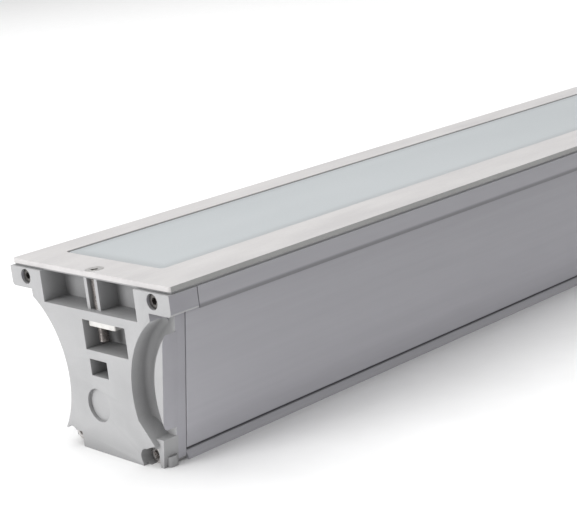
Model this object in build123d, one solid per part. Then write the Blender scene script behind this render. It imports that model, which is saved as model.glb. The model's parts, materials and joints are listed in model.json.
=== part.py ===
from build123d import *
import math
import os

# Linear outdoor wall washer. Millimetres, +Z up, X across the light, +Y along it.
# The origin is at the bottom centre of the whole light, its cable gland included.

# --- overall ---
body_length = 1000.0
rim_width = 120.0
height = 89.0
play = 0.1  # clearance between pieces that slip into each other
seat_gap = 0.3  # clearance round loosely seated pieces

# --- top frame, glass and seals ---
frame_thickness = 2.4
frame_set_back = 1.5  # frame edge behind the rim's edge at both ends
frame_side_inset = 0.5
frame_corner = 1.5
frame_gasket_thickness = 1.0
frame_gasket_inset = 1.0
opening_end = 20.5
opening_corner = 2.0
glass_thickness = 5.0
glass_overlap = 1.8
opening_inset_left = 2.7  # from the rebate's side to the opening
opening_inset_right = 13.4
seal_wall = 0.6
carrier_thickness = 1.8
carrier_lip = 1.2

# --- housing extrusion ---
rim_height = 9.9
side_top_half = 50.0
side_foot_half = 37.0
wall = 3.2
rebate_inset = 5.1  # from the side's top to the pane's rebate
pane_ledge = 2.0
pane_ledge_thickness = 2.0
groove_bottom = 4.0
groove_height = 1.8
groove_depth = 1.6
foot_half = 37.8
foot_lip = 1.1  # from the side's foot in to the foot's bevel
foot_bevel_bottom = 1.0
tray_ledge_drop = 27.1  # from the pane's ledge down to the tray
tray_ledge_thickness = 2.5
tray_ledge_reach = 6.0

# --- end caps ---
cap_depth = 15.9
cap_front_depth = 10.3
cap_skin = 3.0
cap_corner = 2.0
cap_plate_round = 5.4
cap_cove = 3.0
end_gasket_thickness = 0.6
end_gasket_inset = 0.6
front_top_inset = 5.5  # from the side's top to the front's shoulder
waist_half = 24.2
waist_share = 0.453  # height of the waist over the height of the rim's underside
shoulder_drop = 3.8
toe_left = 20.5
toe_right = 25.0
toe_notch_top = 7.6
toe_corner = 2.5
flare_top = 22.0  # where the right toe leaves the scallop's arc
flare_half = 35.5
flare_bottom = 11.6
cheek_depth = 2.8
cheek_top = 64.8  # where the cheek's inner arc meets the side
cheek_middle = 36.0
cheek_middle_half = 35.8
cheek_bottom = 18.5
cheek_round = 2.5
foot_block_top = 14.0
foot_block_inner = 20.0
screw_notch_top = 9.0
screw_notch_wall = 2.2  # between the notch and the side
foot_pad_proud = 2.4
foot_pad_top = 5.0
foot_pad_front = 4.8
foot_pad_round = 2.0
lug_top = 12.3
lug_proud = 2.0
lug_inner = 15.0
lug_inset = 1.5
lug_round = 1.5
pocket_outer_inset = 9.1  # from the shoulder to the pocket
pocket_height = 15.2
pocket_depth = 13.5
rib_width = 2.2
rib_set_back = 3.0
window_left = -6.7
window_right = 25.0
window_height = 14.6
window_bar = 4.5  # bar between the pockets and the window
key_pocket_left = -5.2
key_pocket_right = 7.6
key_pocket_height = 8.2
key_pocket_bar = 4.4
key_pocket_depth = 12.0
knockout_x = -3.5
knockout_drop = 14.7  # from the key pocket's bottom to the knock-out's centre
knockout_radius = 8.2
knockout_depth = 1.8
cap_hollow_half = 19.0
cap_hollow_reach = 11.5  # above and below the knock-out's centre

# --- cap screws ---
upper_screw_wall = 1.0  # between the pane's rebate and the screw's hole
upper_screw_drop = 4.2
upper_screw_radius = 2.0
upper_head_radius = 3.5
upper_head_length = 4.0
upper_counterbore = 3.75
upper_head_depth = 5.2
upper_screw_length = 20.0
lower_screw_inset = 8.4  # from the side's foot to the screw
lower_screw_z = 4.4
lower_screw_radius = 2.5
lower_head_radius = 4.25
lower_head_length = 5.0
lower_screw_length = 25.0
lower_counterbore = 4.6
port_wall = 1.8

# --- frame clamp: screw and plate at each end ---
clamp_screw_depth = 6.3
clamp_screw_radius = 2.5
clamp_screw_length = 35.0
clamp_head_radius = 4.5
clamp_head_height = 2.0
clamp_slot_play = 0.3
clamp_thread_play = 0.05
clamp_tip_chamfer = 0.8
clamp_plate_left = -4.2
clamp_plate_right = 15.5
clamp_plate_front = 1.5
clamp_plate_back = 12.5
clamp_plate_thickness = 3.2
clamp_plate_corner = 1.0

# --- optics ---
tray_thickness = 2.0
tray_end_gap = 30.0
tray_screw_radius = 1.5
tray_screw_length = 6.0
tray_head_radius = 2.8
tray_head_height = 1.8
tray_screw_rows = 4
tray_screw_end = 40.0
board_width = 30.0
board_thickness = 1.6
chip_side = 3.5
chip_height = 0.8
optics_end = 32.0  # from the housing's end to the first strip
strip_spacing = 156.0  # wished, before whole strips are fitted in
lenses_per_strip = 6
strip_gap = 1.0
strip_width = 27.0
strip_thickness = 2.0
lens_foot_radius = 5.5
lens_top_radius = 11.5
lens_gap = 1.7  # from the board to the lens
lens_rise = 11.2
lens_leg_radius = 1.6
reflector_sheet = 1.0
reflector_foot = 9.0
reflector_drop = 1.6  # below the pane's ledge
reflector_inset = 1.6  # inside the opening's edge

# --- driver ---
driver_length = 220.0
driver_width = 44.0
driver_case_height = 30.0
driver_skin = 1.2
driver_start = 75.0  # from the near cap's face to the driver
driver_pad_thickness = 0.5
driver_pad_inset = 2.0
driver_lid_thickness = 1.2
driver_board_gap = 4.0
driver_board_thickness = 1.6
driver_board_end = 12.0
driver_foot_radius = 1.5
component_height = 17.0
transformer_width = 20.0
transformer_length = 24.0
capacitor_radius = 7.0
small_capacitor_radius = 5.0
choke_side = 14.0
component_pitch = 42.0
driver_screw_radius = 1.25
driver_head_radius = 2.3
driver_head_height = 1.5
driver_screw_length = 7.0
driver_post_radius = 2.6
driver_post_inset = 4.2

# --- terminal block and earth ---
terminal_end = 70.0
terminal_pitch = 7.2
terminal_end_wall = 2.0
terminal_chamfer = 2.0
terminal_depth = 20.0
terminal_height = 16.0
terminal_ways = 5
terminal_hole_radius = 1.9
terminal_screw_radius = 1.7
terminal_screw_length = 6.0
earth_inset = 10.4  # from the tray's side to the earth screw
earth_end = 42.0
earth_screw_radius = 2.0
earth_screw_length = 8.0
earth_head_radius = 3.5
earth_head_height = 2.6
earth_lug_radius = 4.2
earth_lug_thickness = 0.8
earth_barrel_length = 6.0

# --- wires ---
wire_radius = 1.1
earth_wire_radius = 1.2
wire_entry = 3.0
wire_lead_out = 18.0
board_wire_spacing = 16.0
board_wire_lap = 7.0
clip_count = 4
clip_width = 8.0
clip_wall = 1.6

# --- cable gland and vent on the far cap ---
gland_thread_radius = 8.0
gland_bore_radius = 4.6
gland_hex_across = 19.0
gland_hex_length = 5.0
gland_washer_thickness = 1.0
gland_inner_length = 11.0
gland_outer_thread = 9.0
gland_nut_across = 19.0
gland_nut_length = 4.0
gland_reach = 25.0
gland_seal_radius = 6.4
gland_seal_length = 8.0
gland_washer_radius = 9.5
gland_dome_rim = 1.2
gland_dome_swell = 1.0
cable_radius = 4.0
vent_x = 12.7
vent_radius = 3.0
vent_hex_across = 10.0
vent_head_length = 5.0
vent_thread_length = 8.0
vent_seal_thickness = 0.8
vent_hole_count = 6
vent_hole_circle = 3.0
vent_hole_radius = 0.5


def side_half(z):
    """Half width of the tapered side at a height."""
    share = (rim_bottom - z) / (rim_bottom - groove_bottom)
    return side_top_half + (side_foot_half - side_top_half) * share


# --- places worked out from the sizes ---
overall_length = body_length + gland_reach
near_face = -overall_length / 2
far_face = near_face + body_length
body_middle = near_face + body_length / 2
rim_half = rim_width / 2
frame_bottom = height - frame_thickness
rim_top = frame_bottom - frame_gasket_thickness
rim_bottom = rim_top - rim_height
profile_start = cap_depth + end_gasket_thickness
glass_top = frame_bottom - seal_wall
glass_bottom = glass_top - glass_thickness
carrier_top = glass_bottom - seal_wall
ledge_height = carrier_top - carrier_thickness
rebate_half = side_top_half - rebate_inset
opening_left = opening_inset_left - rebate_half
opening_right = rebate_half - opening_inset_right
glass_end = opening_end - glass_overlap
glass_left = opening_left - glass_overlap
glass_right = opening_right + glass_overlap
carrier_end = profile_start + 0.5
optic_x = (opening_left + opening_right) / 2
tray_ledge_top = ledge_height - tray_ledge_drop
tray_top = tray_ledge_top + tray_thickness
tray_half = side_half(tray_top) - wall - 2 * seat_gap
board_top = tray_top + board_thickness
lens_bottom = board_top + lens_gap
lens_top = lens_bottom + lens_rise
optics_length = body_length - 2 * optics_end
strip_count = round(optics_length / strip_spacing)
lens_pitch = optics_length / (strip_count * lenses_per_strip)
strip_length = lenses_per_strip * lens_pitch - strip_gap
reflector_top = ledge_height - reflector_drop
front_top_half = side_top_half - front_top_inset
waist_height = rim_bottom * waist_share
shoulder_height = rim_bottom - shoulder_drop
shoulder_reach = front_top_half - waist_half
scallop_radius = ((shoulder_height - waist_height) ** 2 + shoulder_reach**2) / (2 * shoulder_reach)
slot_half = clamp_screw_radius + clamp_slot_play
pocket_inner = slot_half + rib_width
pocket_outer = front_top_half - pocket_outer_inset
pocket_bottom = rim_top - pocket_height
window_top = pocket_bottom - window_bar
window_bottom = window_top - window_height
key_pocket_top = window_bottom - key_pocket_bar
key_pocket_bottom = key_pocket_top - key_pocket_height
knockout_z = key_pocket_bottom - knockout_drop
upper_screw_x = rebate_half + upper_screw_wall + upper_screw_radius + play
upper_screw_z = rim_top - upper_screw_drop
lower_screw_x = side_foot_half - lower_screw_inset
lower_head_depth = cap_front_depth
driver_bottom = wall + driver_pad_thickness
driver_top = driver_bottom + driver_case_height
driver_near = near_face + driver_start
driver_far = driver_near + driver_length
driver_wire_z = driver_bottom + driver_case_height / 2
earth_x = tray_half - earth_inset
terminal_far = far_face - terminal_end
terminal_near = terminal_far - terminal_depth
terminal_wire_z = wall + terminal_height * 0.4
floor_wire_z = wall + wire_radius + seat_gap
earth_wire_z = tray_top + earth_lug_thickness + play + earth_wire_radius
gland_x = -knockout_x  # the far cap is the near one turned round
gland_mouth = far_face + gland_washer_thickness + gland_hex_length + gland_outer_thread
window_plate_top = window_top - play


def scallop_half(z):
    """Half width of the cap's hourglass front at a height."""
    return waist_half + scallop_radius - math.sqrt(scallop_radius**2 - (z - waist_height) ** 2)


def block(x0, x1, y0, y1, z0, z1):
    """Box between two corners."""
    return Pos(x0, y0, z0) * Box(x1 - x0, y1 - y0, z1 - z0, align=(Align.MIN, Align.MIN, Align.MIN))


def prism(face, y0, y1):
    """Section in X and Z drawn out from y0 to y1."""
    return Pos(0, y1, 0) * extrude(Plane.XZ * face, amount=y1 - y0)


def rod_y(x, z, radius, y0, y1):
    """Cylinder along Y."""
    return prism(Pos(x, z) * Circle(radius), y0, y1)


def rod_z(x, y, radius, z0, z1):
    """Cylinder along Z."""
    return Pos(x, y, z0) * Cylinder(radius, z1 - z0, align=(Align.CENTER, Align.CENTER, Align.MIN))


def hex_y(x, z, across, y0, y1):
    """Hexagonal bar along Y."""
    return prism(Pos(x, z) * RegularPolygon(across / 2, 6, major_radius=False, rotation=30), y0, y1)


def behind(depth):
    """Y of a place this far behind the near cap's front face."""
    return near_face + depth


def at_far_end(shape):
    """The same thing turned round to the far end."""
    turn = Pos(0, body_middle, 0) * Rot(0, 0, 180) * Pos(0, -body_middle, 0)
    return turn * shape


def mirrored(points):
    """Closed outline from its right half, listed from the top centre down."""
    return points + [(-x, z) for x, z in reversed(points)]


def outline(points):
    """Face from a closed list of points."""
    return make_face(Polyline(*points, close=True))


# --- housing extrusion ---
def cavity_face():
    """Room inside the extrusion, with the rebate for the pane at its top."""
    ledge_bottom = ledge_height - pane_ledge_thickness
    return outline(
        mirrored(
            [
                (rebate_half, rim_top),
                (rebate_half, ledge_height),
                (rebate_half - pane_ledge, ledge_height),
                (rebate_half - pane_ledge, ledge_bottom),
                (side_half(ledge_bottom) - wall, ledge_bottom),
                (side_half(wall) - wall, wall),
            ]
        )
    )


def profile_outline():
    """Outer line of the extrusion without its grooves."""
    return outline(
        mirrored(
            [
                (rim_half, rim_top),
                (rim_half, rim_bottom),
                (side_top_half, rim_bottom),
                (side_foot_half, groove_bottom),
                (side_foot_half - foot_lip, groove_bottom),
                (foot_half, foot_bevel_bottom),
                (foot_half, 0),
            ]
        )
    )


def housing_profile():
    start = behind(profile_start)
    end = far_face - profile_start
    face = profile_outline() - cavity_face()
    for side in (-1, 1):
        groove = Pos(side * side_foot_half, groove_bottom + groove_height / 2)
        face -= groove * Rectangle(2 * groove_depth, groove_height)
        port = Pos(side * lower_screw_x, lower_screw_z)
        face += port * Circle(lower_screw_radius + port_wall)
        ledge_mid = tray_ledge_top - tray_ledge_thickness / 2
        ledge_x = side_half(ledge_mid) - wall - tray_ledge_reach / 2 + wall / 4
        ledge_size = Rectangle(tray_ledge_reach + wall / 2, tray_ledge_thickness)
        face += Pos(side * ledge_x, ledge_mid) * ledge_size
    for side in (-1, 1):
        face -= Pos(side * lower_screw_x, lower_screw_z) * Circle(lower_screw_radius + play)
        face -= Pos(side * upper_screw_x, upper_screw_z) * Circle(upper_screw_radius + play)
    profile = prism(face, start, end)
    for x, y in tray_screw_places():
        ledge_bottom = tray_ledge_top - tray_ledge_thickness
        profile -= rod_z(x, y, tray_screw_radius + play, ledge_bottom - 1, tray_ledge_top + 1)
    return profile


# --- end caps ---
def front_half(toe, arc_end, tip):
    """Right half of the hourglass front, with the toe's tip over the notch beside it."""
    shoulder = (front_top_half, shoulder_height)
    return make_face(
        [
            Line((0, rim_bottom + 1), (front_top_half, rim_bottom + 1)),
            Line((front_top_half, rim_bottom + 1), shoulder),
            ThreePointArc(shoulder, (waist_half, waist_height), (scallop_half(arc_end), arc_end)),
            Line((scallop_half(arc_end), arc_end), tip),
            Line(tip, (toe, toe_notch_top)),
            Line((toe, toe_notch_top), (toe, 0)),
            Line((toe, 0), (0, 0)),
            Line((0, 0), (0, rim_bottom + 1)),
        ]
    )


def cap_front_face():
    """Hourglass outline of the cap's front block."""
    right = front_half(toe_right, flare_top, (flare_half, flare_bottom))
    tip_height = toe_notch_top + 0.5
    left = front_half(toe_left, tip_height, (scallop_half(toe_notch_top), toe_notch_top))
    return right + mirror(left, Plane.YZ)


def cap_plate_face():
    """Outline of the cap's rear plate: the side taper down to the bottom."""
    return outline(mirrored([(side_top_half, rim_bottom + 1), (side_half(0), 0)]))


def scallop_cove(side):
    """Concave corner between a scallop's wall and the plate."""
    start = behind(cap_front_depth - cap_cove)
    end = behind(cap_front_depth)
    room = block(waist_half, front_top_half, start, end, toe_notch_top, rim_bottom + 1)
    hollow = rod_y(waist_half + scallop_radius, waist_height, scallop_radius, start - 1, end)
    deep_edge = hollow.edges().filter_by(GeomType.CIRCLE).group_by(Axis.Y)[-1]
    cove = room - fillet(deep_edge, cap_cove)
    return cove if side > 0 else mirror(cove, Plane.YZ)


def side_lug():
    """Low pad on the cap's plate round the left lower screw."""
    front = behind(cap_front_depth - lug_proud)
    outer = side_half(lug_top) - lug_inset
    lug = block(lug_inner, outer, front, behind(cap_front_depth + 1), 0, lug_top)
    top_edge = lug.faces().sort_by(Axis.Y)[0].edges().sort_by(Axis.Z)[-1]
    return mirror(fillet(top_edge, lug_round), Plane.YZ)


def side_cheek():
    """Bulging wall that closes the right scallop towards the side."""
    top = (side_half(cheek_top), cheek_top)
    bottom = (side_half(cheek_bottom), cheek_bottom)
    face = make_face(
        [
            ThreePointArc(top, (cheek_middle_half, cheek_middle), bottom),
            Line(bottom, top),
        ]
    )
    cheek = prism(face, behind(cheek_depth), behind(cap_front_depth + 1))
    inner_edge = cheek.faces().sort_by(Axis.Y)[0].edges().filter_by(GeomType.CIRCLE)
    return fillet(inner_edge, cheek_round)


def foot_block():
    """Right foot of the cap: flush with the side, with the lower screw in a notch."""
    front = behind(cheek_depth)
    back = behind(cap_front_depth + 1)
    face = outline(
        [
            (foot_block_inner, 0),
            (foot_block_inner, foot_block_top),
            (side_half(foot_block_top), foot_block_top),
            (side_half(0), 0),
        ]
    )
    foot = prism(face, front, back)
    pad_outer = side_half(0) + foot_pad_proud
    pad = block(lower_screw_x, pad_outer, behind(foot_pad_front), back - 1, 0, foot_pad_top)
    pad = fillet(pad.edges().filter_by(Axis.Z).group_by(Axis.X)[-1], foot_pad_round)
    notch_outer = side_half(0) - screw_notch_wall
    notch = block(lower_screw_x, notch_outer, front - 1, behind(cap_front_depth), -1, screw_notch_top)
    return foot + pad - notch


def end_cap():
    """Cap of the near end, before any hole for the cable."""
    front = behind(0)
    back = behind(cap_depth)
    plate_front = behind(cap_front_depth)
    rim = block(-rim_half, rim_half, front, back, rim_bottom, rim_top)
    low_edges = rim.edges().filter_by(Axis.Y).group_by(Axis.Z)[0]
    rim = fillet(low_edges, cap_corner)
    plate = prism(cap_plate_face(), plate_front, back)
    plate_edges = plate.faces().sort_by(Axis.Y)[0].edges().sort_by(Axis.Z)[1:-1]
    plate = fillet(plate_edges.sort_by(Axis.X)[0], cap_plate_round)
    plate_bottom = plate.edges().filter_by(Axis.Y).group_by(Axis.Z)[0]
    plate = fillet(plate_bottom, toe_corner)
    cap = rim + plate + prism(cap_front_face(), front, plate_front + 1)
    for side in (-1, 1):
        cap += scallop_cove(side)
    cap += side_lug() + side_cheek() + foot_block()
    cap -= block(
        -pocket_outer, pocket_outer, front - 1, behind(rib_set_back), pocket_bottom, rim_top + 1
    )
    for side in (-1, 1):
        inner = side * pocket_inner
        outer = side * pocket_outer
        cap -= block(
            min(inner, outer), max(inner, outer), front - 1, behind(pocket_depth), pocket_bottom, rim_top + 1
        )
        x = side * upper_screw_x
        cap -= rod_y(x, upper_screw_z, upper_counterbore, front - 1, behind(upper_head_depth))
        cap -= rod_y(x, upper_screw_z, upper_screw_radius + play, front, back + 1)
        x = side * lower_screw_x
        cap -= rod_y(x, lower_screw_z, lower_counterbore, front - 1, plate_front)
        cap -= rod_y(x, lower_screw_z, lower_screw_radius + play, front, back + 1)
    cap -= block(window_left, window_right, front - 1, behind(pocket_depth), window_bottom, window_top)
    cap -= block(
        key_pocket_left,
        key_pocket_right,
        front - 1,
        behind(key_pocket_depth),
        key_pocket_bottom,
        key_pocket_top,
    )
    cap -= rod_y(knockout_x, knockout_z, knockout_radius, front - 1, behind(knockout_depth))
    cap -= block(
        -slot_half, slot_half, front - 1, behind(clamp_screw_depth), pocket_bottom, rim_top + 1
    )
    cap -= rod_z(0, behind(clamp_screw_depth), slot_half, window_top - 1, rim_top + 1)
    cap -= block(
        -cap_hollow_half,
        cap_hollow_half,
        behind(cap_skin + knockout_depth),
        back + 1,
        knockout_z - cap_hollow_reach,
        knockout_z + cap_hollow_reach,
    )
    return cap


def end_cap_far():
    """Far cap: the knock-out is opened for the gland, with the vent beside it."""
    cap = end_cap()
    through = behind(cap_skin + knockout_depth + 1)
    cap -= rod_y(knockout_x, knockout_z, gland_thread_radius + play, near_face, through)
    cap -= rod_y(vent_x, knockout_z, vent_radius + play, near_face - 1, through)
    return at_far_end(cap)


def end_gasket():
    front = behind(cap_depth)
    rim = Pos(0, (rim_top + rim_bottom) / 2) * Rectangle(
        2 * (rim_half - end_gasket_inset), rim_height - end_gasket_inset
    )
    body = outline(
        mirrored(
            [
                (side_top_half - end_gasket_inset, rim_bottom + end_gasket_inset),
                (side_half(end_gasket_inset) - end_gasket_inset, end_gasket_inset),
            ]
        )
    )
    face = rim + body - cavity_face()
    for side in (-1, 1):
        face += Pos(side * lower_screw_x, lower_screw_z) * Circle(
            lower_screw_radius + port_wall - end_gasket_inset
        )
    for side in (-1, 1):
        face -= Pos(side * lower_screw_x, lower_screw_z) * Circle(lower_screw_radius + play)
        face -= Pos(side * upper_screw_x, upper_screw_z) * Circle(upper_screw_radius + play)
    return prism(face, front, front + end_gasket_thickness)


# --- cap screws ---
def socket_screw(x, z, radius, head_radius, head_length, length, seat):
    """Socket head screw along Y with its head's underside at the seat."""
    head = rod_y(x, z, head_radius, seat - head_length, seat)
    rim_edges = head.edges().filter_by(GeomType.CIRCLE).group_by(Axis.Y)[0]
    head = chamfer(rim_edges, head_radius * 0.12)
    screw = head + rod_y(x, z, radius, seat, seat + length)
    key = hex_y(x, z, 2 * radius * 0.8, seat - head_length - 1, seat - head_length * 0.45)
    return screw - key


def upper_screws():
    seat = behind(upper_head_depth)
    return [
        socket_screw(
            side * upper_screw_x,
            upper_screw_z,
            upper_screw_radius,
            upper_head_radius,
            upper_head_length,
            upper_screw_length,
            seat,
        )
        for side in (-1, 1)
    ]


def lower_screws():
    seat = behind(lower_head_depth)
    return [
        socket_screw(
            side * lower_screw_x,
            lower_screw_z,
            lower_screw_radius,
            lower_head_radius,
            lower_head_length,
            lower_screw_length,
            seat,
        )
        for side in (-1, 1)
    ]


# --- top frame, glass and seals ---
def opening_block(z0, z1):
    """The frame's long opening as a solid with rounded corners."""
    solid = block(
        opening_left, opening_right, near_face + opening_end, far_face - opening_end, z0, z1
    )
    return fillet(solid.edges().filter_by(Axis.Z), opening_corner)


def clamp_axes():
    """Y of the clamp screws at the near and the far end."""
    return [near_face + clamp_screw_depth, far_face - clamp_screw_depth]


def top_frame():
    half = rim_half - frame_side_inset
    plate = block(
        -half, half, near_face + frame_set_back, far_face - frame_set_back, frame_bottom, height
    )
    plate = fillet(plate.edges().filter_by(Axis.Z), frame_corner)
    plate -= opening_block(frame_bottom - 1, height + 1)
    for y in clamp_axes():
        cone = Pos(0, y, height) * Cone(
            clamp_screw_radius + play,
            clamp_head_radius + play,
            clamp_head_height,
            align=(Align.CENTER, Align.CENTER, Align.MAX),
        )
        plate -= cone + rod_z(0, y, clamp_screw_radius + play, frame_bottom - 1, height)
    return plate


def frame_gasket():
    half = rim_half - frame_gasket_inset
    inset = frame_set_back + frame_gasket_inset
    sheet = block(-half, half, near_face + inset, far_face - inset, rim_top, frame_bottom)
    sheet -= block(
        -rebate_half,
        rebate_half,
        near_face + profile_start,
        far_face - profile_start,
        rim_top - 1,
        frame_bottom + 1,
    )
    for y in clamp_axes():
        sheet -= rod_z(0, y, clamp_screw_radius + clamp_slot_play, rim_top - 1, frame_bottom + 1)
    return sheet


def glass_block(grow):
    """The pane's outline grown by a seal's wall."""
    return block(
        glass_left - grow,
        glass_right + grow,
        near_face + glass_end - grow,
        far_face - glass_end + grow,
        glass_bottom - grow,
        glass_top + grow,
    )


def glass_seal():
    seal = glass_block(seal_wall) - glass_block(0)
    return seal - opening_block(glass_bottom - 2 * seal_wall, frame_bottom + 1)


def pane_carrier():
    """Ledge frame that carries the sealed pane; its right rail fills the wide border."""
    outer = rebate_half - seat_gap
    near = near_face + carrier_end
    far = far_face - carrier_end
    carrier = block(-outer, outer, near, far, ledge_height, carrier_top)
    carrier += block(glass_right + seal_wall + play, outer, near, far, carrier_top, frame_bottom)
    return carrier - block(
        opening_left + carrier_lip,
        opening_right - carrier_lip,
        near_face + opening_end + carrier_lip,
        far_face - opening_end - carrier_lip,
        ledge_height - 1,
        carrier_top + 1,
    )


# --- frame clamp ---
def clamp_screw():
    y = behind(clamp_screw_depth)
    tip = height - clamp_screw_length
    shank = rod_z(0, y, clamp_screw_radius, tip, height - clamp_head_height)
    tip_edge = shank.edges().filter_by(GeomType.CIRCLE).group_by(Axis.Z)[0]
    shank = chamfer(tip_edge, clamp_tip_chamfer)
    head = Pos(0, y, height) * Cone(
        clamp_screw_radius,
        clamp_head_radius,
        clamp_head_height,
        align=(Align.CENTER, Align.CENTER, Align.MAX),
    )
    key = Pos(0, y, height) * extrude(
        RegularPolygon(clamp_screw_radius * 0.6, 6, major_radius=False), amount=-clamp_head_height * 0.7
    )
    return shank + head - key


def clamp_plate():
    """Threaded plate under the window's ceiling."""
    plate = block(
        clamp_plate_left,
        clamp_plate_right,
        behind(clamp_plate_front),
        behind(clamp_plate_back),
        window_plate_top - clamp_plate_thickness,
        window_plate_top,
    )
    plate = fillet(plate.edges().filter_by(Axis.Z), clamp_plate_corner)
    hole = rod_z(
        0,
        behind(clamp_screw_depth),
        clamp_screw_radius + clamp_thread_play,
        window_bottom,
        window_top,
    )
    return plate - hole


# --- optics ---
def tray_screw_places():
    """X and Y of the tray's screws, over the middle of both ledges."""
    x = side_half(tray_ledge_top) - wall - tray_ledge_reach / 2
    first = near_face + tray_end_gap + tray_screw_end
    last = far_face - tray_end_gap - tray_screw_end
    step = (last - first) / (tray_screw_rows - 1)
    return [(side * x, first + row * step) for side in (-1, 1) for row in range(tray_screw_rows)]


def led_tray():
    near = near_face + tray_end_gap
    far = far_face - tray_end_gap
    tray = block(-tray_half, tray_half, near, far, tray_ledge_top, tray_top)
    for x, y in tray_screw_places():
        tray -= rod_z(x, y, tray_screw_radius + play, tray_ledge_top - 1, tray_top + 1)
    tray -= rod_z(earth_x, far_face - earth_end, earth_screw_radius + play, tray_ledge_top - 1, tray_top + 1)
    return tray


def tray_screws():
    screws = []
    for x, y in tray_screw_places():
        head = rod_z(x, y, tray_head_radius, tray_top, tray_top + tray_head_height)
        top_edge = head.edges().filter_by(GeomType.CIRCLE).group_by(Axis.Z)[-1]
        head = fillet(top_edge, tray_head_height * 0.5)
        screws.append(head + rod_z(x, y, tray_screw_radius, tray_top - tray_screw_length, tray_top))
    return screws


def lens_centres():
    """Y of every lens and chip."""
    first = body_middle - optics_length / 2 + lens_pitch / 2
    return [first + n * lens_pitch for n in range(strip_count * lenses_per_strip)]


def led_boards():
    half = board_width / 2
    boards = []
    for side in (-1, 1):
        y0 = body_middle + side * optics_length / 4 - optics_length / 4 + strip_gap / 2
        y1 = y0 + optics_length / 2 - strip_gap
        boards.append(block(optic_x - half, optic_x + half, y0, y1, tray_top, board_top))
    return boards


def led_chips():
    half = chip_side / 2
    return [
        block(optic_x - half, optic_x + half, y - half, y + half, board_top, board_top + chip_height)
        for y in lens_centres()
    ]


def lens_strips():
    strips = []
    centres = lens_centres()
    half = strip_width / 2
    for n in range(strip_count):
        own = centres[n * lenses_per_strip : (n + 1) * lenses_per_strip]
        middle = (own[0] + own[-1]) / 2
        y0 = middle - strip_length / 2
        y1 = middle + strip_length / 2
        strip = block(optic_x - half, optic_x + half, y0, y1, lens_top, lens_top + strip_thickness)
        for y in own:
            strip += Pos(optic_x, y, lens_bottom) * Cone(
                lens_foot_radius,
                lens_top_radius,
                lens_top - lens_bottom,
                align=(Align.CENTER, Align.CENTER, Align.MIN),
            )
        for x in (optic_x - half + lens_leg_radius, optic_x + half - lens_leg_radius):
            for y in (y0 + lens_leg_radius, y1 - lens_leg_radius):
                strip += rod_z(x, y, lens_leg_radius, board_top, lens_top)
        strips.append(strip)
    return strips


def reflector(side):
    """Folded sheet: a foot on the tray and a wall that flares up to the pane."""
    foot_start = optic_x + side * (board_width / 2 + seat_gap)
    bend = foot_start + side * reflector_foot
    edge = opening_left if side < 0 else opening_right
    top = edge - side * reflector_inset
    thick = side * reflector_sheet
    face = outline(
        [
            (foot_start, tray_top),
            (bend + thick, tray_top),
            (top + thick, reflector_top),
            (top, reflector_top),
            (bend, tray_top + reflector_sheet),
            (foot_start, tray_top + reflector_sheet),
        ]
    )
    return prism(face, body_middle - optics_length / 2, body_middle + optics_length / 2)


# --- driver ---
def driver_pad():
    half = driver_width / 2 - driver_pad_inset
    return block(-half, half, driver_near + driver_pad_inset, driver_far - driver_pad_inset, wall, driver_bottom)


def driver_posts():
    """X and Y of the lid screws' posts."""
    x = driver_width / 2 - driver_post_inset
    return [
        (side * x, y)
        for side in (-1, 1)
        for y in (driver_near + driver_post_inset, driver_far - driver_post_inset)
    ]


def driver_case():
    """Open box with screw posts in its corners and wire holes through its ends."""
    half = driver_width / 2
    inside = driver_bottom + driver_skin
    case = block(-half, half, driver_near, driver_far, driver_bottom, driver_top)
    case -= block(
        -half + driver_skin,
        half - driver_skin,
        driver_near + driver_skin,
        driver_far - driver_skin,
        inside,
        driver_top + 1,
    )
    for x, y in driver_posts():
        case += rod_z(x, y, driver_post_radius, inside, driver_top)
        case -= rod_z(x, y, driver_screw_radius + play, driver_top - driver_screw_length, driver_top + 1)
    for x in board_wire_places():
        case -= rod_y(x, driver_wire_z, wire_radius + play, driver_near - 1, driver_near + 2 * driver_skin)
    for x in supply_wire_places():
        case -= rod_y(x, driver_wire_z, wire_radius + play, driver_far - 2 * driver_skin, driver_far + 1)
    return case


def driver_board():
    """Board on four short feet, clear of the lid screws' posts."""
    half = driver_width / 2 - driver_post_inset - driver_post_radius - 1
    bottom = driver_bottom + driver_skin + driver_board_gap
    near = driver_near + driver_board_end
    far = driver_far - driver_board_end
    board = block(-half, half, near, far, bottom, bottom + driver_board_thickness)
    for y in (near + driver_foot_radius, far - driver_foot_radius):
        for x in (driver_foot_radius - half, half - driver_foot_radius):
            board += rod_z(x, y, driver_foot_radius, driver_bottom + driver_skin, bottom)
    return board


def driver_components():
    """Transformer, two capacitors and a choke standing on the driver's board."""
    bottom = driver_bottom + driver_skin + driver_board_gap + driver_board_thickness
    top = bottom + component_height
    middle = (driver_near + driver_far) / 2
    half = transformer_width / 2
    reach = transformer_length / 2
    transformer = block(-half, half, middle - reach, middle + reach, bottom, top)
    capacitor = rod_z(0, middle - component_pitch, capacitor_radius, bottom, top)
    small_top = bottom + component_height * 0.8
    small_capacitor = rod_z(0, middle + component_pitch, small_capacitor_radius, bottom, small_top)
    half = choke_side / 2
    choke_y = middle + 2 * component_pitch
    choke_top = bottom + component_height * 0.6
    choke = block(-half, half, choke_y - half, choke_y + half, bottom, choke_top)
    return [transformer, capacitor, small_capacitor, choke]


def driver_lid():
    half = driver_width / 2
    seat = driver_top + driver_lid_thickness
    lid = block(-half, half, driver_near, driver_far, driver_top, seat)
    for x, y in driver_posts():
        lid -= rod_z(x, y, driver_screw_radius + play, driver_top - 1, seat + 1)
    return lid


def driver_screws():
    screws = []
    seat = driver_top + driver_lid_thickness
    for x, y in driver_posts():
        head = rod_z(x, y, driver_head_radius, seat, seat + driver_head_height)
        screws.append(head + rod_z(x, y, driver_screw_radius, seat - driver_screw_length, seat))
    return screws


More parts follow.
